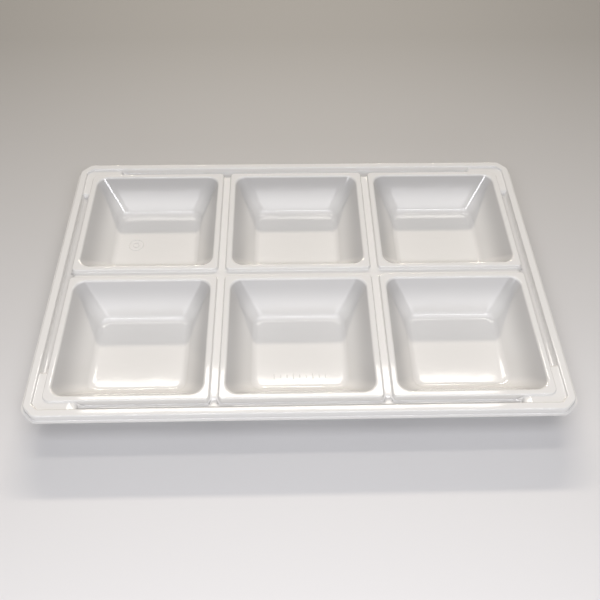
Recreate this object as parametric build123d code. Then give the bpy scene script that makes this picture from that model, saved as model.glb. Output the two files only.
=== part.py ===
from build123d import *
import os
from math import atan, sqrt, tan

# Six-cell tray, formed from one plastic sheet: two rows of three tapered wells, each inside a flat
# sealing frame, with shallow channels between the frames, a groove round them, and a rim that
# turns down into a skirt and a narrow trim flange. +X is the long side, -Y is the front, and
# +Z is up. The origin is on the resting plane, under the middle of the tray. Sizes are in mm.
#
# The tray is worked out as two bodies: everything under the sheet's upper face, and everything
# under its lower face. Their difference is the sheet. Each region is then cut out of it with
# upright walls, so neighbouring regions meet face to face.

# Driving dimensions
SHEET = 0.6            # thickness of the formed sheet
CELL_W = 80.2          # one sealing frame, left to right
CELL_D = 76.4          # one sealing frame, front to back
CHANNEL = 4.7          # gap between two frames at their tops
COLUMNS = ("left", "middle", "right")
ROWS = ("front", "back")

WELL_DEPTH = 19.4      # from the frame's top to the well's floor
WELL_RUN = 12.9        # how far a wall leans in over that depth
LAND = 2.7             # width of the frame's flat top
MOUTH_CORNER = 6.5     # corner radius of a well at its mouth
FLOOR_CORNER = 6.0     # corner radius of a well at its floor
FLOOR_FILLET = 4.5     # radius between a well's walls and its floor
LIP = 1.0              # rounding where the frame's top turns down into the well

FRAME_CORNER = 2.0     # corner radius of a frame beside the channels
BLOCK_CORNER = 4.0     # corner radius of a frame at a corner of the tray
FRAME_DRAFT = 0.2      # outward lean of a frame's outer wall, per mm of depth
CHANNEL_DEPTH = 1.8    # below the frames' tops
CHANNEL_END = 0.8      # a channel's floor drops into the groove this far inside the frames' edge
GROOVE_DEPTH = 3.0
PAD_DEPTH = 0.8
PAD_X = 16.0           # reach of a corner pad along the front or the back, from the frame's corner
PAD_Y = 16.0           # reach of a corner pad along a side
PAD_RAMP = 1.5         # length of the slope at a pad's end

GROOVE = 4.3           # width of the groove at its top
RIM = 4.0              # width of the rim
RIM_RISE = 0.4         # the rim's top above the frames' tops
RIM_ROUND = 0.9        # rounding of the rim's outer edge
SKIRT_DROP = 3.3       # from the rim's top to the trim flange's top
SKIRT_LEAN = 0.35      # outward lean of the skirt over its drop
FLANGE = 1.3           # how far the trim flange stands out
CORNER_CUT = 5.5       # the rim's corners are cut across by this much
CORNER_ROUND = 4.5     # and blended with this radius

# Worked out from them
PITCH_X = CELL_W + CHANNEL
PITCH_Y = CELL_D + CHANNEL
BLOCK_W = 3 * CELL_W + 2 * CHANNEL
BLOCK_D = 2 * CELL_D + CHANNEL
Z_FRAME = SHEET + WELL_DEPTH
Z_RIM = Z_FRAME + RIM_RISE
Z_CHANNEL = Z_FRAME - CHANNEL_DEPTH
Z_GROOVE = Z_FRAME - GROOVE_DEPTH
Z_PAD = Z_FRAME - PAD_DEPTH
Z_FLANGE = Z_RIM - SKIRT_DROP
Z_LOW = -5.0           # below everything
Z_HIGH = Z_RIM + 5.0   # above everything
RIM_OUT = GROOVE + RIM                      # rim's outer edge, out from the frames' outer edge
SKIRT_OUT = RIM_OUT + SKIRT_LEAN
TRIM_OUT = SKIRT_OUT + FLANGE
PAD_FILL = GROOVE + RIM / 2 + 1             # a pad's block runs on under the rim
PAD_FOOT = PAD_RAMP + 0.5                   # a pad's region ends this far past its top
WALL_SLOPE = WELL_RUN / WELL_DEPTH
WALL_SHIFT = SHEET * sqrt(1 + WALL_SLOPE**2)  # level distance between a well wall's two faces
LIP_REACH = LIP * tan(atan(1 / WALL_SLOPE) / 2)
FRAME_SEAM = 1.0       # a frame's region ends this far outside its top's edge
GROOVE_SEAM = GROOVE - 1.0  # the groove's floor ends here and the rim's region begins
WELL_SEAM = LIP_REACH + 0.1  # a well's region ends this far outside its mouth


def rounded(width, depth, radii, z, x=0.0, y=0.0):
    """A level rectangle with its own radius at each corner: (-x-y, +x-y, +x+y, -x+y)."""
    signs = ((-1, -1), (1, -1), (1, 1), (-1, 1))
    shape = Rectangle(width, depth)
    for (sx, sy), radius in zip(signs, radii):
        corner = shape.vertices().sort_by(lambda v: (v.X * sx + v.Y * sy))[-1]
        shape = fillet(corner, radius)
    return Pos(x, y, z) * shape


def outline(margin, z):
    """The tray's own outline, `margin` outside the block of frames, with its corners cut across."""
    change = margin - RIM_OUT
    cut = CORNER_CUT + (2 - sqrt(2)) * change
    shape = Rectangle(BLOCK_W + 2 * margin, BLOCK_D + 2 * margin)
    shape = chamfer(shape.vertices(), cut)
    shape = fillet(shape.vertices(), max(CORNER_ROUND + change, 0.6))
    return Pos(0, 0, z) * shape


def between(lower, upper):
    """A solid with straight walls from one level outline to another."""
    return Solid.make_loft([lower.face().outer_wire(), upper.face().outer_wire()], True)


def standing_box(width, depth, height):
    return Box(width, depth, height, align=(Align.CENTER, Align.CENTER, Align.MIN))


def prism(shape, height):
    return extrude(shape, height, dir=(0, 0, 1))


def column_prism(shape):
    """An upright prism of a level outline, taller than the tray."""
    return prism(shape.moved(Location((0, 0, Z_LOW - shape.center().Z))), Z_HIGH - Z_LOW)


def cell_place(column, row):
    return (column - 1) * PITCH_X, (row - 0.5) * PITCH_Y


def corner_radii(column, row, grow):
    """Corner radii of one frame: larger at the tray's own corner."""
    sign_x = column - 1
    sign_y = 1 if row else -1
    signs = ((-1, -1), (1, -1), (1, 1), (-1, 1))
    return [(BLOCK_CORNER if (sx, sy) == (sign_x, sign_y) else FRAME_CORNER) + grow for sx, sy in signs]


def frame_outline(column, row, margin, z):
    x, y = cell_place(column, row)
    return rounded(CELL_W + 2 * margin, CELL_D + 2 * margin, corner_radii(column, row, margin), z, x, y)


def mouth_outline(column, row, margin, z):
    """A level section of one well at height z, `margin` outside its upper face."""
    x, y = cell_place(column, row)
    depth = Z_FRAME - z
    lean = 2 * WALL_SLOPE * depth
    radius = MOUTH_CORNER + (FLOOR_CORNER - MOUTH_CORNER) * depth / WELL_DEPTH + margin
    width = CELL_W - 2 * LAND - lean + 2 * margin
    length = CELL_D - 2 * LAND - lean + 2 * margin
    return rounded(width, length, [radius] * 4, z, x, y)


def well_space(column, row, down):
    """The hollow of one well. `down` is 0 for the sheet's upper face and SHEET for its lower face."""
    margin = WALL_SHIFT * down / SHEET
    low = mouth_outline(column, row, margin, SHEET - down)
    high = mouth_outline(column, row, margin, Z_FRAME + 2)
    space = between(low, high)
    floor_edges = space.edges().filter_by_position(Axis.Z, SHEET - down - 0.01, SHEET - down + 0.01)
    return fillet(floor_edges, FLOOR_FILLET + down)


def cell_block(column, row, down):
    """One frame and its well as a solid block under the chosen face of the sheet."""
    drop = Z_FRAME - Z_LOW
    low = frame_outline(column, row, FRAME_DRAFT * drop - down, Z_LOW)
    high = frame_outline(column, row, -down, Z_FRAME - down)
    block = between(low, high) - well_space(column, row, down)
    top_face = block.faces().sort_by(Axis.Z)[-1]
    return fillet(top_face.inner_wires()[0].edges(), LIP - down)


def pad_arm(plane, across, reach, edge, down):
    """One arm of a corner pad, with a sloping end at `reach`, filled down to Z_LOW."""
    top = Z_PAD - down
    foot = reach - PAD_RAMP / (Z_PAD - Z_GROOVE) * (top - Z_LOW)
    side = Polyline((reach, top), (edge, top), (edge, Z_LOW), (foot, Z_LOW), close=True)
    return extrude(plane * make_face(side), PAD_FILL, dir=across)


def pad_space(sign_x, sign_y, down):
    """One L-shaped corner pad, as a block that fills the groove up to the pad's top."""
    half_w = BLOCK_W / 2
    half_d = BLOCK_D / 2
    arm_x = pad_arm(Plane.XZ, (0, 1, 0), half_w - PAD_X + down, half_w - 1 + PAD_FILL, down)
    arm_y = pad_arm(Plane.YZ, (1, 0, 0), half_d - PAD_Y + down, half_d - 1 + PAD_FILL, down)
    pad = Pos(0, half_d - 1, 0) * arm_x + Pos(half_w - 1, 0, 0) * arm_y
    pad &= column_prism(outline(GROOVE + RIM / 2, Z_FRAME))
    if sign_x < 0:
        pad = mirror(pad, Plane.YZ)
    if sign_y < 0:
        pad = mirror(pad, Plane.XZ)
    return pad


def border(down):
    """Everything outside the frames, as a solid under the chosen face of the sheet."""
    base = prism(outline(TRIM_OUT + 3, Z_LOW), Z_FLANGE - down - Z_LOW)
    lean = SKIRT_LEAN / SKIRT_DROP
    rim = between(outline(SKIRT_OUT - down + lean * 2, Z_FLANGE - 2), outline(RIM_OUT - down, Z_RIM - down))
    top_edges = rim.edges().filter_by_position(Axis.Z, Z_RIM - down - 0.01, Z_RIM - down + 0.01)
    rim = fillet(top_edges, RIM_ROUND - down)
    body = base + rim
    groove_low = outline(GROOVE - FRAME_DRAFT * GROOVE_DEPTH + down, Z_GROOVE - down)
    groove_high = outline(GROOVE + FRAME_DRAFT * RIM_RISE + down, Z_RIM)
    body -= between(groove_low, groove_high) + prism(groove_high, Z_HIGH - Z_RIM)
    rise = Z_CHANNEL - down - Z_LOW
    slab_ends = 2 * (CHANNEL_END + down)
    for sign in (-1, 1):
        body += Pos(sign * PITCH_X / 2, 0, Z_LOW) * standing_box(CHANNEL + 4, BLOCK_D - slab_ends, rise)
    body += Pos(0, 0, Z_LOW) * standing_box(BLOCK_W - slab_ends, CHANNEL + 4, rise)
    for sign_x in (-1, 1):
        for sign_y in (-1, 1):
            body += pad_space(sign_x, sign_y, down)
    return body


def save(name, shape):
    export_step(shape, f"parts/{name}.step")


def tall_box(x0, x1, y0, y1):
    box = standing_box(x1 - x0, y1 - y0, Z_HIGH - Z_LOW)
    return Pos((x0 + x1) / 2, (y0 + y1) / 2, Z_LOW) * box


def cells():
    return [(column, row) for row in range(len(ROWS)) for column in range(len(COLUMNS))]


def save_cells(upper, lower):
    """The six wells and the six frames."""
    for column, row in cells():
        name = f"{ROWS[row]}_{COLUMNS[column]}"
        mouth = column_prism(mouth_outline(column, row, WELL_SEAM, Z_FRAME))
        around = column_prism(frame_outline(column, row, FRAME_SEAM, Z_FRAME))
        top = cell_block(column, row, 0.0)
        bottom = cell_block(column, row, SHEET)
        save(f"well_{name}", (top - bottom) & mouth)
        save(f"frame_{name}", (top + (upper & around)) & (around - mouth) - bottom - lower)


def save_channels(sheet, block_x, block_y):
    """The two long channels, front to back, and the three short ones that cross between the rows."""
    half = CHANNEL / 2 + FRAME_CORNER + FRAME_SEAM
    for name, sign in (("left", -1), ("right", 1)):
        middle = sign * PITCH_X / 2
        save(f"channel_{name}", sheet & tall_box(middle - half, middle + half, -block_y, block_y))
    near = PITCH_X / 2 - half
    far = PITCH_X / 2 + half
    spans = ((-block_x, -far), (-near, near), (far, block_x))
    for name, (x0, x1) in zip(COLUMNS, spans):
        save(f"cross_channel_{name}", sheet & tall_box(x0, x1, -CHANNEL, CHANNEL))


def save_groove(sheet, block_x, block_y):
    """The four straight runs of the groove, and the four corner pads between them."""
    inside = sheet & column_prism(outline(GROOVE_SEAM, Z_FRAME))
    reach_x = BLOCK_W / 2 - PAD_X - PAD_FOOT
    reach_y = BLOCK_D / 2 - PAD_Y - PAD_FOOT
    far = BLOCK_W
    save("groove_front", inside & tall_box(-reach_x, reach_x, -far, -block_y))
    save("groove_back", inside & tall_box(-reach_x, reach_x, block_y, far))
    save("groove_left", inside & tall_box(-far, -block_x, -reach_y, reach_y))
    save("groove_right", inside & tall_box(block_x, far, -reach_y, reach_y))
    for row, y0, y1 in (("front", -far, -reach_y), ("back", reach_y, far)):
        for side, x0, x1 in (("left", -far, -reach_x), ("right", reach_x, far)):
            save(f"corner_pad_{row}_{side}", inside & tall_box(x0, x1, y0, y1))


def save_edges(sheet):
    """The rim with its skirt, and the trim flange, each as four sides with mitred corners."""
    w = BLOCK_W / 2 + RIM_OUT + 10
    d = BLOCK_D / 2 + RIM_OUT + 10
    k = 25
    sides = {
        "front": ((-w, -d), (w, -d), (w - k, -d + k), (-w + k, -d + k)),
        "right": ((w, -d), (w, d), (w - k, d - k), (w - k, -d + k)),
        "back": ((w, d), (-w, d), (-w + k, d - k), (w - k, d - k)),
        "left": ((-w, d), (-w, -d), (-w + k, -d + k), (-w + k, d - k)),
    }
    skirt = column_prism(outline(SKIRT_OUT, Z_FRAME))
    rim = sheet & (skirt - column_prism(outline(GROOVE_SEAM, Z_FRAME)))
    flange = sheet & (column_prism(outline(TRIM_OUT, Z_FRAME)) - skirt)
    for name, points in sides.items():
        wedge = column_prism(make_face(Polyline(*points, close=True)))
        save(f"rim_{name}", rim & wedge)
        save(f"trim_flange_{name}", flange & wedge)


def main():
    os.makedirs("parts", exist_ok=True)
    upper = border(0.0)
    lower = border(SHEET)
    save_cells(upper, lower)
    sheet = upper - lower
    for column, row in cells():
        sheet -= column_prism(frame_outline(column, row, FRAME_SEAM, Z_FRAME))
    block_x = BLOCK_W / 2 + FRAME_SEAM
    block_y = BLOCK_D / 2 + FRAME_SEAM
    save_channels(sheet, block_x, block_y)
    save_groove(sheet, block_x, block_y)
    save_edges(sheet)


main()
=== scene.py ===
import math

import bpy
import numpy as np
from mathutils import Matrix, Vector
from mathutils.geometry import delaunay_2d_cdt


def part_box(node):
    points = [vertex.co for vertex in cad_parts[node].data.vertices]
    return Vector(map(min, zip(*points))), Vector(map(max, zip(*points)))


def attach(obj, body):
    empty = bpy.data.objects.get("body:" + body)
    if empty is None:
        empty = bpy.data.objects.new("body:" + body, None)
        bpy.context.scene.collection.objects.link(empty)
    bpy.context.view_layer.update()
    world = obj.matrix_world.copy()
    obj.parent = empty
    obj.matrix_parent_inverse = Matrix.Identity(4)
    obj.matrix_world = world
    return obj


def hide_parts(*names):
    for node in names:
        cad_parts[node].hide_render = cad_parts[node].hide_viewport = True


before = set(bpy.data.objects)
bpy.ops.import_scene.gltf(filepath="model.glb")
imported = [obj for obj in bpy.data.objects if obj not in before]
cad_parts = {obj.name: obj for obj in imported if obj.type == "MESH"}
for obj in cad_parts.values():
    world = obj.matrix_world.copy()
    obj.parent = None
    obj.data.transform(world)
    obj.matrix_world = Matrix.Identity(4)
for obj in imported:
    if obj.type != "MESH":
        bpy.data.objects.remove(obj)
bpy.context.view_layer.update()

# A glossy white tray, vacuum-formed from one sheet of polystyrene. The sheet's whole upper face is
# modelled first: loops round each well and round the rim, with the low floor between them. The
# lower face is the upper one moved in by the sheet's thickness. The sheet is then cut into the
# regions that the frame names. A region's piece replaces its node, and keeps the normals of the
# whole sheet, so no joint shows.

MM = 0.001
COLUMNS = ("left", "middle", "right")
ROWS = ("front", "back")
SIGNS = ((-1, -1), (1, -1), (1, 1), (-1, 1))


# ---------------------------------------------------------------- sizes, read from the frame

def node_span(node, axis):
    low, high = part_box(node)
    return high[axis] - low[axis]


def node_top(node):
    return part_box(node)[1].z


FRAME_SEAM = 1.0 * MM          # a frame's node ends this far outside its top's edge
SHEET = node_span("cross_channel_middle", 2)
CELL_W = node_span("frame_front_left", 0) - 2 * FRAME_SEAM
CELL_D = node_span("frame_front_left", 1) - 2 * FRAME_SEAM
PITCH_X = (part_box("frame_front_right")[0].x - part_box("frame_front_left")[0].x) / 2
PITCH_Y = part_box("frame_back_left")[0].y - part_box("frame_front_left")[0].y
HALF_W = PITCH_X + CELL_W / 2
HALF_D = (PITCH_Y + CELL_D) / 2
Z_FRAME = node_top("frame_front_middle")
Z_RIM = node_top("rim_front")
Z_CHANNEL = node_top("cross_channel_middle")
Z_GROOVE = node_top("groove_front")
Z_PAD = node_top("corner_pad_front_left")
Z_FLANGE = node_top("trim_flange_front")
TRIM_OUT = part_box("trim_flange_right")[1].x - HALF_W
WELL_DEPTH = Z_FRAME - SHEET

# Sizes inside the nodes
LAND = 2.7 * MM                # flat top of a sealing frame
LIP = 1.0 * MM                 # rounding from a frame's top into its well
WELL_RUN = 12.9 * MM           # how far a well's wall leans in over its depth
MOUTH_CORNER = 6.5 * MM
FLOOR_CORNER = 6.0 * MM
FLOOR_FILLET = 4.5 * MM
FRAME_CORNER = 2.0 * MM
BLOCK_CORNER = 4.0 * MM
FRAME_EDGE = 0.7 * MM          # rounding of a frame's outer edge
DRAFT = 0.2                    # lean of the upright walls, per unit of height
LOWEST_WALL = 0.8 * MM         # from a frame's top down to a corner pad
LOWEST_FOOT = 0.25 * MM        # hollow rounding at that wall's foot
FOOT_GROWTH = 0.5              # how much that rounding grows, per unit of the wall's height
MOUTH_START = 2.56 * MM        # a channel slopes into the groove from here, inside the frames' block
MOUTH_SLOPE = 2.88 * MM        # length of that slope
PAD_REACH = 16.0 * MM          # a corner pad's length along each side
PAD_RAMP = 1.5 * MM            # slope at a pad's end
PAD_SEAM = 0.5 * MM            # a pad's node ends this far past its ramp
GROOVE = 4.3 * MM              # from the frames' edge to the rim's inner edge, at the frames' height
RIM_OUT = 8.3 * MM
RIM_EDGE_IN = 0.8 * MM
RIM_EDGE_OUT = 0.9 * MM
SKIRT_LEAN = 0.35 * MM
SKIRT_FOOT = 0.5 * MM
CORNER_CUT = 5.5 * MM          # how far a tray corner is cut back along each side
CORNER_ROUND = 4.5 * MM        # blend at both ends of the cut
TIGHTEST = 0.6 * MM            # smallest corner radius of the tray's outline

# How finely the curves are divided
ARC_STEPS = 12                 # round a corner; even, so that it has a middle
FOOT_STEPS = 6
EDGE_STEPS = 5
LIP_STEPS = 6
WALL_STEPS = 6
FILLET_STEPS = 10
RIM_STEPS = 6
SKIRT_STEPS = 4
BAR_STEPS = 6
RAMP_POINTS = 8
RAMP_MARGIN = 0.3 * MM         # the points on a pad's ramp reach this far past it

WALL_ANGLE = math.atan2(WELL_DEPTH, WELL_RUN)
UPRIGHT = math.atan2(1, DRAFT)
LIP_REACH = LIP * math.tan(WALL_ANGLE / 2)
FLOOR_REACH = FLOOR_FILLET * math.tan(WALL_ANGLE / 2)
WELL_END = LAND + WELL_RUN + FLOOR_REACH
GROOVE_SEAM = GROOVE - 1.0 * MM            # the rim's node begins here
WELL_SEAM = LIP_REACH + 0.1 * MM           # a well's node begins this far before its mouth


# ---------------------------------------------------------------- heights of the low floor

def smooth_step(value):
    t = np.clip(value, 0.0, 1.0)
    return t * t * (3 - 2 * t)


def low_level(points):
    """Channels inside the block of frames, the groove outside it, and pads at the groove's corners."""
    over_x = np.abs(points[:, 0]) - HALF_W
    over_y = np.abs(points[:, 1]) - HALF_D
    outside = smooth_step((np.maximum(over_x, over_y) + MOUTH_START) / MOUTH_SLOPE)
    on_long_side = over_y >= over_x
    along = np.where(on_long_side, over_x, over_y)
    pad = smooth_step((along + PAD_REACH + PAD_RAMP) / PAD_RAMP)
    groove = Z_GROOVE + (Z_PAD - Z_GROOVE) * pad
    return Z_CHANNEL + (groove - Z_CHANNEL) * outside


# ---------------------------------------------------------------- closed loops of points

def arc(centre, radius, start, turn, steps):
    angles = start + np.linspace(0, turn, steps + 1)
    facing = np.stack((np.cos(angles), np.sin(angles)), 1)
    return np.asarray(centre) + radius * facing, facing


def side_places(span):
    """Distances along one side of a frame, from its corner: close together where a pad ends."""
    ramp = np.linspace(PAD_REACH - RAMP_MARGIN, PAD_REACH + PAD_RAMP + RAMP_MARGIN, RAMP_POINTS)
    near = np.concatenate((np.array([5.0, 9.0, 13.0]) * MM, ramp, np.array([22.0, 29.0]) * MM))
    return np.concatenate((near, [span / 2], span - near[::-1]))


def rounded_loop(centre, half, radii, places):
    """A rounded rectangle, anticlockwise, with the directions that its points face. places[k] says
    where the points of side k lie, from 0 at its start to 1 at its end."""
    points = []
    facings = []
    for k, (sx, sy) in enumerate(SIGNS):
        middle = (centre[0] + sx * (half[0] - radii[k]), centre[1] + sy * (half[1] - radii[k]))
        corner, facing = arc(middle, radii[k], math.pi + k * math.pi / 2, math.pi / 2, ARC_STEPS)
        points.append(corner)
        facings.append(facing)
    loop = []
    faces_out = []
    for k in range(4):
        begin = points[k][-1]
        end = points[(k + 1) % 4][0]
        side = begin + np.outer(places[k], end - begin)
        loop += [points[k], side]
        faces_out += [facings[k], np.repeat(facings[k][-1:], len(side), 0)]
    return np.concatenate(loop), np.concatenate(faces_out)


def cell_centre(column, row):
    return (column - 1) * PITCH_X, (row - 0.5) * PITCH_Y


def cell_radii(column, row):
    tray_corner = (column - 1, 1 if row else -1)
    return [BLOCK_CORNER if sign == tray_corner else FRAME_CORNER for sign in SIGNS]


def cell_places(radii):
    """The places of side points, measured so that they stand at the same spots on every frame."""
    places = []
    for k in range(4):
        span = CELL_W if k % 2 == 0 else CELL_D
        straight = span - radii[k] - radii[(k + 1) % 4]
        places.append((side_places(span) - radii[k]) / straight)
    return places


def well_corner(inset):
    """Corner radius of a well's level section at a distance in from the frame's edge."""
    wall_end = WELL_END - FLOOR_FILLET * math.sin(WALL_ANGLE)
    at = (LAND - LIP_REACH, LAND, wall_end, WELL_END)
    radii = (MOUTH_CORNER + LIP_REACH, MOUTH_CORNER, FLOOR_CORNER, FLOOR_CORNER - FLOOR_REACH)
    return float(np.interp(inset, at, radii))


def outline_loop(margin):
    """The tray's outline at a margin outside the frames, with its corners cut across and blended."""
    change = margin - RIM_OUT
    cut = CORNER_CUT + (2 - math.sqrt(2)) * change
    radius = max(CORNER_ROUND + change, TIGHTEST)
    reach = radius * math.tan(math.pi / 8)
    half = (HALF_W + margin, HALF_D + margin)
    loop = []
    for k, (sx, sy) in enumerate(SIGNS):
        start = math.pi + k * math.pi / 2
        before = np.array((math.cos(start), math.sin(start)))
        after = np.array((-before[1], before[0]))
        corner = np.array((sx * half[0], sy * half[1]))
        first = corner - after * (cut + reach) - before * radius
        last = corner - before * (cut + reach) - after * radius
        one = arc(first, radius, start, math.pi / 4, ARC_STEPS // 2)[0]
        two = arc(last, radius, start + math.pi / 4, math.pi / 4, ARC_STEPS // 2)[0]
        loop += [one, (one[-1:] + two[:1]) / 2, two]
        along = rim_places(HALF_W if k % 2 == 0 else HALF_D, k % 2 == 0)
        loop.append(np.outer(along, -before) + corner * np.abs(after))
    return np.concatenate(loop)


def rim_places(half, long_side):
    """Places along one side of the tray, from its middle, both ways: every 6 mm, but closer by a
    channel's mouth, where a pad ends and near the tray's corners."""
    mouth = PITCH_X / 2 if long_side else 0.0
    by_mouth = mouth + np.linspace(-5, 5, 11) * MM
    spread = np.arange(3, half / MM - 21, 6) * MM
    clear = spread[np.abs(spread - mouth) > 7 * MM]
    pad_end = half - PAD_REACH
    ramp = np.linspace(pad_end - PAD_RAMP - RAMP_MARGIN, pad_end + RAMP_MARGIN, RAMP_POINTS)
    outer = half - np.array([12.0, 8.0, 4.5]) * MM
    places = np.sort(np.concatenate((clear, ramp, by_mouth[by_mouth > 0], outer)))
    return np.concatenate((-places[::-1], places))


def outline_at(margins):
    """The outline with a margin of its own at each point."""
    made = {m: outline_loop(m) for m in set(np.round(margins, 7))}
    return np.array([made[m][k] for k, m in enumerate(np.round(margins, 7))])


# ---------------------------------------------------------------- the sheet's upper face

class UpperFace:
    """The points and faces of the sheet's upper side, with the region that each face is in."""

    def __init__(self):
        self.points = []
        self.faces = []
        self.regions = []

    def add(self, flat_points, heights):
        first = len(self.points)
        heights = np.broadcast_to(heights, len(flat_points))
        self.points += [(x, y, z) for (x, y), z in zip(flat_points, heights)]
        return list(range(first, len(self.points)))

    def face(self, corners, region):
        self.faces.append(tuple(corners))
        self.regions.append(region)

    def band(self, outer, inner, offsets, name_of):
        """Quads between two loops. name_of gives a quad's region from its middle and its offset."""
        count = len(outer)
        for k in range(count):
            n = (k + 1) % count
            corners = (outer[k], outer[n], inner[n], inner[k])
            middle = np.mean([self.points[c][:2] for c in corners], 0)
            self.face(corners, name_of(middle, (offsets[k] + offsets[n]) / 2))


def foot_radius(depth):
    """The hollow rounding at a wall's foot, which grows with the wall's height."""
    return LOWEST_FOOT + FOOT_GROWTH * (depth - LOWEST_WALL)


def wall_profile(level, top, edge):
    """Rows of (distance out from the top's sharp edge, height), from an upright wall's foot to its
    rounded edge. level is the height of the low floor at each point of the loop."""
    depth = top - level
    foot = foot_radius(depth)
    reach = foot * math.tan(UPRIGHT / 2)
    rows = []
    for angle in np.linspace(0, UPRIGHT, FOOT_STEPS + 1):
        out = DRAFT * depth + reach - foot * math.sin(angle)
        rows.append((out, level + foot * (1 - math.cos(angle))))
    inward = edge * math.tan(UPRIGHT / 2)
    for angle in np.linspace(UPRIGHT, 0, EDGE_STEPS + 1):
        out = edge * math.sin(angle) - inward
        height = top - edge * (1 - math.cos(angle))
        rows.append((np.full_like(depth, out), height))
    return rows


def well_profile():
    """Rows of (distance in from the frame's sharp edge, height), from the frame's flat top, round the
    lip and down the wall, to the floor."""
    rows = [(LAND - WELL_SEAM, Z_FRAME)]
    for angle in np.linspace(0, WALL_ANGLE, LIP_STEPS + 1):
        inset = LAND - LIP_REACH + LIP * math.sin(angle)
        rows.append((inset, Z_FRAME - LIP * (1 - math.cos(angle))))
    fillet = []
    for angle in np.linspace(WALL_ANGLE, 0, FILLET_STEPS + 1):
        inset = WELL_END - FLOOR_FILLET * math.sin(angle)
        fillet.append((inset, SHEET + FLOOR_FILLET * (1 - math.cos(angle))))
    wall_top = np.array(rows[-1])
    wall_foot = np.array(fillet[0])
    for part in np.linspace(0, 1, WALL_STEPS + 1)[1:-1]:
        rows.append(tuple(wall_top * (1 - part) + wall_foot * part))
    return rows + fillet


def fill_floor(face, loop, long_side, short_side, region):
    """Fills the floor's last loop with a grid of quads whose corners are at the middles of the arcs.
    long_side and short_side are the numbers of points along a side, between its corners' arcs."""
    half_arc = ARC_STEPS // 2
    ring = loop[half_arc:] + loop[:half_arc]
    nx = ARC_STEPS + 1 + long_side
    ny = ARC_STEPS + 1 + short_side
    bottom = ring[:nx + 1]
    right = ring[nx:nx + ny + 1]
    top = ring[nx + ny:2 * nx + ny + 1][::-1]
    left = (ring[2 * nx + ny:] + ring[:1])[::-1]
    at = {k: np.array(face.points[k]) for k in ring}
    grid = [[None] * (ny + 1) for _ in range(nx + 1)]
    for i in range(nx + 1):
        grid[i][0] = bottom[i]
        grid[i][ny] = top[i]
    for j in range(ny + 1):
        grid[0][j] = left[j]
        grid[nx][j] = right[j]
    for i in range(1, nx):
        for j in range(1, ny):
            u = i / nx
            v = j / ny
            across = (1 - v) * at[bottom[i]] + v * at[top[i]]
            along = (1 - u) * at[left[j]] + u * at[right[j]]
            near = (1 - u) * at[bottom[0]] + u * at[bottom[nx]]
            far = (1 - u) * at[top[0]] + u * at[top[nx]]
            point = across + along - (1 - v) * near - v * far
            grid[i][j] = face.add([point[:2]], point[2])[0]
    for i in range(nx):
        for j in range(ny):
            face.face((grid[i][j], grid[i + 1][j], grid[i + 1][j + 1], grid[i][j + 1]), region)


def add_cell(face, column, row):
    """One frame with its well. Returns the loop where the frame's outer wall meets the low floor."""
    name = f"{ROWS[row]}_{COLUMNS[column]}"
    centre = cell_centre(column, row)
    radii = cell_radii(column, row)
    places = cell_places(radii)
    edge, facing = rounded_loop(centre, (CELL_W / 2, CELL_D / 2), radii, places)
    level = low_level(edge + facing * FRAME_SEAM)
    loops = []
    offsets = []
    for out, height in wall_profile(level, Z_FRAME, FRAME_EDGE):
        loops.append(face.add(edge + facing * np.reshape(out, (-1, 1)), height))
        offsets.append(out)
    foot = loops[0]
    for inset, height in well_profile():
        half = (CELL_W / 2 - inset, CELL_D / 2 - inset)
        points = rounded_loop(centre, half, [well_corner(inset)] * 4, places)[0]
        loops.append(face.add(points, height))
        offsets.append(np.full(len(edge), -inset))

    def region(middle, offset):
        if offset > FRAME_SEAM:
            return low_region(middle)
        return f"frame_{name}" if offset > WELL_SEAM - LAND else f"well_{name}"

    for k in range(len(loops) - 1):
        face.band(loops[k], loops[k + 1], (offsets[k] + offsets[k + 1]) / 2, region)
    fill_floor(face, loops[-1], len(places[0]), len(places[1]), f"well_{name}")
    return foot


def side_of(point):
    """Which side of the tray a point is on, with mitred corners."""
    over_x = abs(point[0]) - HALF_W
    over_y = abs(point[1]) - HALF_D
    if over_y > over_x:
        return "back" if point[1] > 0 else "front"
    return "right" if point[0] > 0 else "left"


def edge_region(middle, margin):
    """The region of a point beyond the groove's floor, by its margin outside the frames."""
    if margin < GROOVE_SEAM:
        return low_region(middle)
    kind = "rim" if margin < RIM_OUT + SKIRT_LEAN else "trim_flange"
    return f"{kind}_{side_of(middle)}"


def add_rim(face):
    """The groove's outer wall, the rim, the skirt and the trim flange. Returns the wall's foot loop."""
    level = low_level(outline_loop(GROOVE - FRAME_SEAM))
    top_margin = GROOVE + DRAFT * (Z_RIM - Z_FRAME)
    rows = [(top_margin - out, height) for out, height in wall_profile(level, Z_RIM, RIM_EDGE_IN)]
    steep = math.atan2(Z_RIM - Z_FLANGE, SKIRT_LEAN)
    inward = RIM_EDGE_OUT * math.tan(steep / 2)
    for angle in np.linspace(0, steep, RIM_STEPS + 1):
        margin = RIM_OUT - inward + RIM_EDGE_OUT * math.sin(angle)
        rows.append((np.full_like(level, margin), Z_RIM - RIM_EDGE_OUT * (1 - math.cos(angle))))
    outward = SKIRT_LEAN + SKIRT_FOOT * math.tan(steep / 2)
    for angle in np.linspace(steep, 0, SKIRT_STEPS + 1):
        margin = RIM_OUT + outward - SKIRT_FOOT * math.sin(angle)
        rows.append((np.full_like(level, margin), Z_FLANGE + SKIRT_FOOT * (1 - math.cos(angle))))
    rows.append((np.full_like(level, TRIM_OUT), Z_FLANGE))
    loops = [face.add(outline_at(margins), height) for margins, height in rows]
    for k in range(len(loops) - 1):
        face.band(loops[k + 1], loops[k], (rows[k][0] + rows[k + 1][0]) / 2, edge_region)
    return loops[0]


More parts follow.
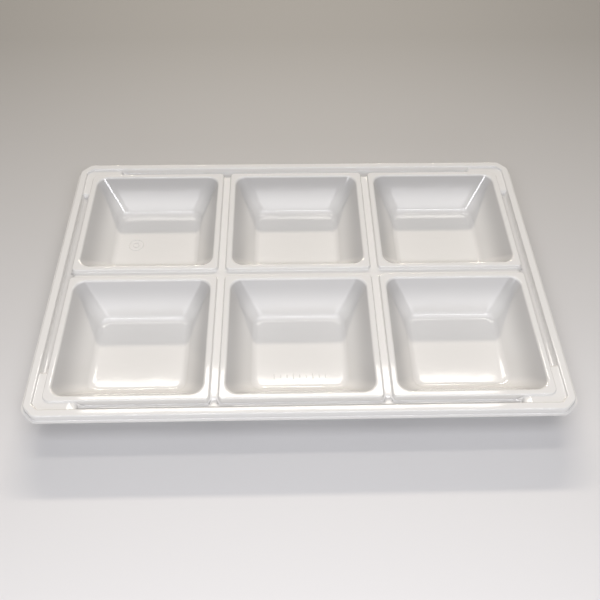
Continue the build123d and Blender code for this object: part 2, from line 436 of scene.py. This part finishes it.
def low_region(point):
    """The name of the low floor's region at a point."""
    over_x = abs(point[0]) - HALF_W - FRAME_SEAM
    over_y = abs(point[1]) - HALF_D - FRAME_SEAM
    side = "left" if point[0] < 0 else "right"
    row = "front" if point[1] < 0 else "back"
    pad_line = -PAD_REACH - PAD_RAMP - FRAME_SEAM - PAD_SEAM
    if over_x > pad_line and over_y > pad_line:
        return f"corner_pad_{row}_{side}"
    if max(over_x, over_y) > 0:
        return f"groove_{side_of(point)}"
    half = (PITCH_X - CELL_W) / 2 + FRAME_CORNER + FRAME_SEAM
    from_channel = abs(point[0]) - PITCH_X / 2
    if abs(from_channel) < half:
        return f"channel_{side}"
    return "cross_channel_middle" if from_channel < 0 else f"cross_channel_{side}"


def inside_cell(point):
    """Whether a point is inside a frame's edge."""
    for row in range(len(ROWS)):
        for column in range(len(COLUMNS)):
            x, y = cell_centre(column, row)
            if abs(point[0] - x) < CELL_W / 2 and abs(point[1] - y) < CELL_D / 2:
                return True
    return False


def mouth_points():
    """Extra points on the slopes where the channels run down into the groove."""
    points = []
    centre = PITCH_X / 2
    for along in np.arange(-3.6, 1.5, 0.3) * MM:
        for across in np.linspace(-0.9, 0.9, 5) * MM:
            for end in (-1, 1):
                points.append((end * (HALF_W + along), across))
                points.append((across + centre, end * (HALF_D + along)))
                points.append((across - centre, end * (HALF_D + along)))
    return np.array(points)


def add_low_floor(face, cell_feet, rim_foot):
    """Fills between the frames' feet and the rim's foot."""
    extra = mouth_points()
    indices = [k for foot in cell_feet for k in foot] + list(rim_foot)
    indices += face.add(extra, low_level(extra))
    flat = [Vector(face.points[k][:2]) for k in indices]
    edges = []
    start = 0
    for loop in [*cell_feet, rim_foot]:
        count = len(loop)
        edges += [(start + k, start + (k + 1) % count) for k in range(count)]
        start += count
    _, _, triangles, originals, *_ = delaunay_2d_cdt(flat, edges, [], 1, 1e-9)
    for triangle in triangles:
        corners = [indices[originals[v][0]] for v in triangle]
        middle = np.mean([face.points[c][:2] for c in corners], 0)
        if not inside_cell(middle):
            face.face(corners, low_region(middle))


# ---------------------------------------------------------------- the sheet and its regions

def unit(vectors):
    return vectors / np.linalg.norm(vectors, axis=-1, keepdims=True)


def vertex_normals(points, faces):
    """One normal per point: those of the faces round it, weighted by their areas."""
    normals = np.zeros_like(points)
    for corners in faces:
        at = points[list(corners)]
        normals[list(corners)] += np.cross(at[1:-1] - at[0], at[2:] - at[0]).sum(0) / 2
    return unit(normals)


def new_object(name, points, faces, normals=None):
    """A mesh object, smooth, with its own normal at each corner of each face if they are given."""
    mesh = bpy.data.meshes.new(name)
    mesh.from_pydata([tuple(p) for p in points], [], faces)
    mesh.polygons.foreach_set("use_smooth", [True] * len(faces))
    if normals is not None:
        mesh.normals_split_custom_set([tuple(n) for n in normals])
    mesh.update()
    made = bpy.data.objects.new(name, mesh)
    bpy.context.scene.collection.objects.link(made)
    return made


def sheet_piece(name, upper, lower, normals, faces):
    """One region of the sheet as a closed piece: its upper faces, its lower faces and its cut edge."""
    used = sorted({v for corners in faces for v in corners})
    count = len(used)
    new = {old: k for k, old in enumerate(used)}
    points = np.concatenate((upper[used], lower[used]))
    sides = [side for corners in faces for side in zip(corners, corners[1:] + corners[:1])]
    edges = dict.fromkeys(sides)
    cut = [(a, b) for a, b in edges if (b, a) not in edges]
    made_faces = [tuple(new[v] for v in corners) for corners in faces]
    made_normals = [normals[v] for corners in faces for v in corners]
    for corners in faces:
        made_faces.append(tuple(new[v] + count for v in corners[::-1]))
        made_normals += [-normals[v] for v in corners[::-1]]
    for a, b in cut:
        made_faces.append((new[b], new[a], new[a] + count, new[b] + count))
        made_normals += [unit(np.cross(upper[b] - upper[a], normals[a] + normals[b]))] * 4
    return new_object(name, points, made_faces, made_normals)


def form_sheet():
    """Builds the whole sheet and returns its pieces by region."""
    face = UpperFace()
    feet = [add_cell(face, column, row) for row in range(len(ROWS)) for column in range(len(COLUMNS))]
    rim_foot = add_rim(face)
    add_low_floor(face, feet, rim_foot)
    upper = np.array(face.points)
    normals = vertex_normals(upper, face.faces)
    lower = upper - normals * SHEET
    regions = {}
    for corners, region in zip(face.faces, face.regions):
        regions.setdefault(region, []).append(corners)
    return {name: sheet_piece(f"formed_{name}", upper, lower, normals, faces)
            for name, faces in sorted(regions.items())}


# ---------------------------------------------------------------- small raised marks

BEAD_WIDTH = 0.6 * MM
BEAD_HEIGHT = 0.3 * MM
BEAD_SINK = 0.05 * MM          # how far a bead's flat side is sunk into the floor
BEAD_END = 0.45                # a bar's end is this much of the bead's full size
BEAD_SIDES = 10
RINGS = (("mark_ring_outer", 4.2 * MM, 28), ("mark_ring_inner", 1.7 * MM, 18))
RING_PLACE = (-12.5 * MM, -3.0 * MM)       # from the well's centre
BAR_COUNT = 9
BAR_PITCH = 3.4 * MM
BAR_TALL = 3.4 * MM
BAR_SHORT = 2.2 * MM
BAR_PLACE = (-13.6 * MM, -15.0 * MM)       # the first bar's, from the well's centre


def bead(name, path, closed):
    """A low raised line on a well's floor, half round in section, along a level path."""
    path = np.array(path)
    count = len(path)
    ahead = np.roll(path, -1, 0) - path
    behind = path - np.roll(path, 1, 0)
    swell = np.ones(count)
    if not closed:
        ahead[-1] = behind[-1]
        behind[0] = ahead[0]
        swell[0] = swell[-1] = BEAD_END
    along = unit(unit(ahead) + unit(behind))
    across = np.stack((along[:, 1], -along[:, 0]), 1)
    points = []
    for k in range(count):
        for angle in np.linspace(0, math.pi, BEAD_SIDES + 1):
            level = path[k] + across[k] * BEAD_WIDTH / 2 * swell[k] * math.cos(angle)
            height = SHEET - BEAD_SINK + (BEAD_HEIGHT + BEAD_SINK) * swell[k] * math.sin(angle)
            points.append((level[0], level[1], height))
    ring = BEAD_SIDES + 1
    faces = []
    last = count if closed else count - 1
    for k in range(last):
        n = (k + 1) % count
        for s in range(ring):
            t = (s + 1) % ring
            faces.append((k * ring + s, n * ring + s, n * ring + t, k * ring + t))
    if not closed:
        faces.append(tuple(range(ring)))
        faces.append(tuple((count - 1) * ring + s for s in reversed(range(ring))))
    return new_object(name, points, faces)


def add_marks():
    """Two plain moulder's marks, as small as real ones: a double ring, and a row of short bars."""
    marks = []
    centre = np.array(cell_centre(0, 1)) + RING_PLACE
    for name, radius, steps in RINGS:
        path = arc(centre, radius, 0, 2 * math.pi, steps)[0][:-1]
        marks.append(bead(name, path, True))
    first = np.array(cell_centre(1, 0)) + BAR_PLACE
    for k in range(BAR_COUNT):
        length = BAR_TALL if k % 3 == 0 else BAR_SHORT
        parts = np.linspace(-0.5, 0.5, BAR_STEPS + 1)
        path = [first + (k * BAR_PITCH, part * length) for part in parts]
        marks.append(bead(f"mark_bar_{k + 1}", path, False))
    return marks


# ---------------------------------------------------------------- materials

FLOW_LENGTH = 25 * MM          # waves left by the forming
FLOW_HEIGHT = 0.07 * MM
GRAIN_LENGTH = 1.5 * MM        # fine texture of the sheet
GRAIN_HEIGHT = 0.0006 * MM
GLOSS = (0.045, 0.075)         # roughness, from the smoothest grain to the roughest
POLYSTYRENE_IOR = 1.59
SHEET_WHITE = "#dfdedc"        # the sheet's own white, where no shade is painted
WHITE_WALL_SHADE = "#c0bfbe"        # painted shade on a well's wall: greyer where the steep walls get less light, and over the dark hollow behind them
WHITE_GROOVE_SHADE = "#c9c8c7"       # painted shade, low in the groove and down the skirt to its foot

# The heights over which a painted shade colour comes in, and those over which it goes again
WALL_SHADE_HEIGHTS = ((4.0 * MM, 17.0 * MM), (Z_FRAME - 1.2 * MM, Z_FRAME - 0.25 * MM))
GROOVE_SHADE_HEIGHTS = ((-1.0 * MM, 0.0), (Z_FLANGE + 0.1 * MM, Z_CHANNEL - 0.1 * MM))

# The table's grey, painted lighter near the tray's front and darker far behind it: painted light
# falling off.
TABLE_NEAR_LIT = "#dedee0"
TABLE_FAR_SHADED = "#a3a19e"
TABLE_SHADE_FADE = (-0.22, 0.26)     # painted shade: the table darkens between these distances from the tray's middle, where the light falls off
TABLE_ROUGHNESS = 0.6
LAMINATE_IOR = 1.5


def linear(colour):
    """A hex sRGB colour as linear red, green, blue and alpha."""
    parts = [int(colour[k:k + 2], 16) / 255 for k in (1, 3, 5)]
    return [p / 12.92 if p <= 0.04045 else ((p + 0.055) / 1.055) ** 2.4 for p in parts] + [1.0]


def add_node(tree, kind, settings=None, inputs=None, links=None):
    """Adds one node with its settings, its socket values, and links from other nodes' outputs."""
    node = tree.nodes.new(kind)
    for key, value in (settings or {}).items():
        setattr(node, key, value)
    for key, value in (inputs or {}).items():
        node.inputs[key].default_value = value
    for key, (source, output) in (links or {}).items():
        tree.links.new(source.outputs[output], node.inputs[key])
    return node


def new_material(name):
    material = bpy.data.materials.new(name)
    material.use_nodes = True
    material.node_tree.nodes.clear()
    return material, material.node_tree


def formed_polystyrene(name, painted_shade, shade_heights):
    """Vacuum-formed high-impact polystyrene. The eye sees a bright, slightly warm white with a smooth
    gloss. Its reflections waver a little where the sheet was stretched and drawn thin. A greyer colour
    of painted shade comes in over the first pair of heights and goes again over the second."""
    rise, fall = shade_heights
    material, tree = new_material(name)
    place = add_node(tree, "ShaderNodeTexCoord")
    flow = add_node(tree, "ShaderNodeTexNoise", inputs={"Scale": 1 / FLOW_LENGTH, "Detail": 2.0},
                    links={"Vector": (place, "Object")})
    grain = add_node(tree, "ShaderNodeTexNoise", inputs={"Scale": 1 / GRAIN_LENGTH, "Detail": 3.0},
                     links={"Vector": (place, "Object")})
    axes = add_node(tree, "ShaderNodeSeparateXYZ", links={"Vector": (place, "Object")})
    over_low = add_node(tree, "ShaderNodeMapRange", {"interpolation_type": "SMOOTHSTEP"},
                        {"From Min": rise[0], "From Max": rise[1]}, {"Value": (axes, "Z")})
    under_top = add_node(tree, "ShaderNodeMapRange", {"interpolation_type": "SMOOTHSTEP"},
                         {"From Min": fall[1], "From Max": fall[0]}, {"Value": (axes, "Z")})
    # mask of painted shade: where the greyer colour stands in for shade, by height
    shade_mask = add_node(tree, "ShaderNodeMath", {"operation": "MULTIPLY"},
                    links={0: (over_low, "Result"), 1: (under_top, "Result")})
    tint = add_node(tree, "ShaderNodeMix", {"data_type": "RGBA"},
                    {"A": linear(SHEET_WHITE), "B": linear(painted_shade)}, {"Factor": (shade_mask, "Value")})
    gloss = add_node(tree, "ShaderNodeMapRange", inputs={"To Min": GLOSS[0], "To Max": GLOSS[1]},
                     links={"Value": (grain, "Fac")})
    waves = add_node(tree, "ShaderNodeBump", inputs={"Strength": 1.0, "Distance": FLOW_HEIGHT},
                     links={"Height": (flow, "Fac")})
    texture = add_node(tree, "ShaderNodeBump", inputs={"Strength": 1.0, "Distance": GRAIN_HEIGHT},
                       links={"Height": (grain, "Fac"), "Normal": (waves, "Normal")})
    surface = add_node(tree, "ShaderNodeBsdfPrincipled", inputs={"IOR": POLYSTYRENE_IOR},
                       links={"Base Color": (tint, "Result"), "Roughness": (gloss, "Result"),
                              "Normal": (texture, "Normal")})
    add_node(tree, "ShaderNodeOutputMaterial", links={"Surface": (surface, "BSDF")})
    return material


def pale_floor():
    """A matt pale laminate table top. The eye sees a plain light grey; its darkening away from it is
    painted shade, where the light falls off.
    """
    material, tree = new_material("laminate_matt_pale")
    place = add_node(tree, "ShaderNodeTexCoord")
    axes = add_node(tree, "ShaderNodeSeparateXYZ", links={"Vector": (place, "Object")})
    away = add_node(tree, "ShaderNodeMapRange",
                    inputs={"From Min": TABLE_SHADE_FADE[0], "From Max": TABLE_SHADE_FADE[1]},
                    links={"Value": (axes, "Y")})
    tint = add_node(tree, "ShaderNodeMix", {"data_type": "RGBA"},
                    {"A": linear(TABLE_NEAR_LIT), "B": linear(TABLE_FAR_SHADED)}, {"Factor": (away, "Result")})
    surface = add_node(tree, "ShaderNodeBsdfPrincipled",
                       inputs={"Roughness": TABLE_ROUGHNESS, "IOR": LAMINATE_IOR},
                       links={"Base Color": (tint, "Result")})
    add_node(tree, "ShaderNodeOutputMaterial", links={"Surface": (surface, "BSDF")})
    return material


# ---------------------------------------------------------------- putting it together

TABLE_REACH = 8.0
TABLE_LEVEL = -0.05 * MM       # a hair below the tray's feet, so that the two never share a plane
WORLD_COLOUR = "#fff6ec"
WORLD_STRENGTH = 0.10
COOL = "#fbfbff"
WARM = "#fffaf2"
WARMER = "#fff4e4"

# Name, place, (height, length along the tray), watts, colour
SOFT_LIGHTS = (
    ("softbox_front", (0.0, -0.42, 0.50), (0.07, 0.7), 2.1, COOL),
    ("softbox_top", (0.0, -0.15, 0.60), (0.22, 0.8), 1.1, COOL),
    ("softbox_back", (0.0, 0.47, 1.00), (0.09, 0.9), 2.0, WARM),
    ("window_front", (0.0, -0.60, 0.22), (0.15, 0.8), 0.8, COOL),
    ("window_back", (0.0, 2.52, 1.64), (0.12, 2.0), 46.0, WARMER),
)

LENS = 40.11                   # millimetres, on a sensor 36 mm wide
CAMERA_PLACE = (-6.36 * MM, -233.5 * MM, Z_FRAME + 287.1 * MM)
CAMERA_TIP = 0.93098           # radians below level
CAMERA_TURN = 0.03250
CAMERA_ROLL = -0.01409


def put_pieces():
    # The wells' walls get a greyer colour by height: painted shade.
    painted_shade = formed_polystyrene("polystyrene_vacuum_formed_wall_shade", WHITE_WALL_SHADE, WALL_SHADE_HEIGHTS)
    # The groove and the skirt's foot get a greyer colour by height: painted shade.
    groove_shaded = formed_polystyrene("polystyrene_vacuum_formed_groove_shade", WHITE_GROOVE_SHADE, GROOVE_SHADE_HEIGHTS)
    plain = formed_polystyrene("polystyrene_vacuum_formed_gloss", SHEET_WHITE, GROOVE_SHADE_HEIGHTS)
    finishes = {"well": painted_shade, "trim": plain}
    for region, piece in form_sheet().items():
        piece.data.materials.append(finishes.get(region.split("_")[0], groove_shaded))
        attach(piece, "root")
        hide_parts(region)
    for mark in add_marks():
        mark.data.materials.append(plain)
        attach(mark, "root")


def put_floor():
    points = [(x * TABLE_REACH, y * TABLE_REACH, TABLE_LEVEL) for x, y in SIGNS]
    floor = new_object("table", points, [(0, 1, 2, 3)])
    floor.data.materials.append(pale_floor())


def put_softbox(name, place, size, power, colour):
    """A soft rectangular light facing the tray. size is its height and its length along the tray."""
    light = bpy.data.lights.new(name, "AREA")
    light.shape = "RECTANGLE"
    light.size = size[1]
    light.size_y = size[0]
    light.energy = power
    light.color = linear(colour)[:3]
    lamp = bpy.data.objects.new(name, light)
    lamp.visible_camera = False
    turn = Vector(place).normalized().to_track_quat("Z", "Y").to_matrix().to_4x4()
    lamp.matrix_world = Matrix.Translation(place) @ turn
    bpy.context.scene.collection.objects.link(lamp)


def put_lights():
    world = bpy.data.worlds.new("studio")
    world.use_nodes = True
    background = world.node_tree.nodes["Background"]
    background.inputs["Color"].default_value = linear(WORLD_COLOUR)
    background.inputs["Strength"].default_value = WORLD_STRENGTH
    bpy.context.scene.world = world
    for light in SOFT_LIGHTS:
        put_softbox(*light)
    bpy.context.scene.view_settings.view_transform = "Standard"


def put_camera():
    """Stands in front of the tray and above it, and looks down at the front row's far wall."""
    data = bpy.data.cameras.new("camera")
    data.lens = LENS
    data.sensor_width = 36.0
    data.dof.use_dof = False
    ahead = Vector((math.sin(CAMERA_TURN), math.cos(CAMERA_TURN), 0.0))
    forward = ahead * math.cos(CAMERA_TIP) - Vector((0.0, 0.0, math.sin(CAMERA_TIP)))
    level = Vector((math.cos(CAMERA_TURN), -math.sin(CAMERA_TURN), 0.0))
    down = forward.cross(level)
    right = math.cos(CAMERA_ROLL) * level + math.sin(CAMERA_ROLL) * down
    below = -math.sin(CAMERA_ROLL) * level + math.cos(CAMERA_ROLL) * down
    camera = bpy.data.objects.new("camera", data)
    place = Matrix((right, -below, -forward)).transposed().to_4x4()
    camera.matrix_world = Matrix.Translation(CAMERA_PLACE) @ place
    bpy.context.scene.collection.objects.link(camera)
    bpy.context.scene.camera = camera


put_pieces()
put_floor()
put_lights()
put_camera()
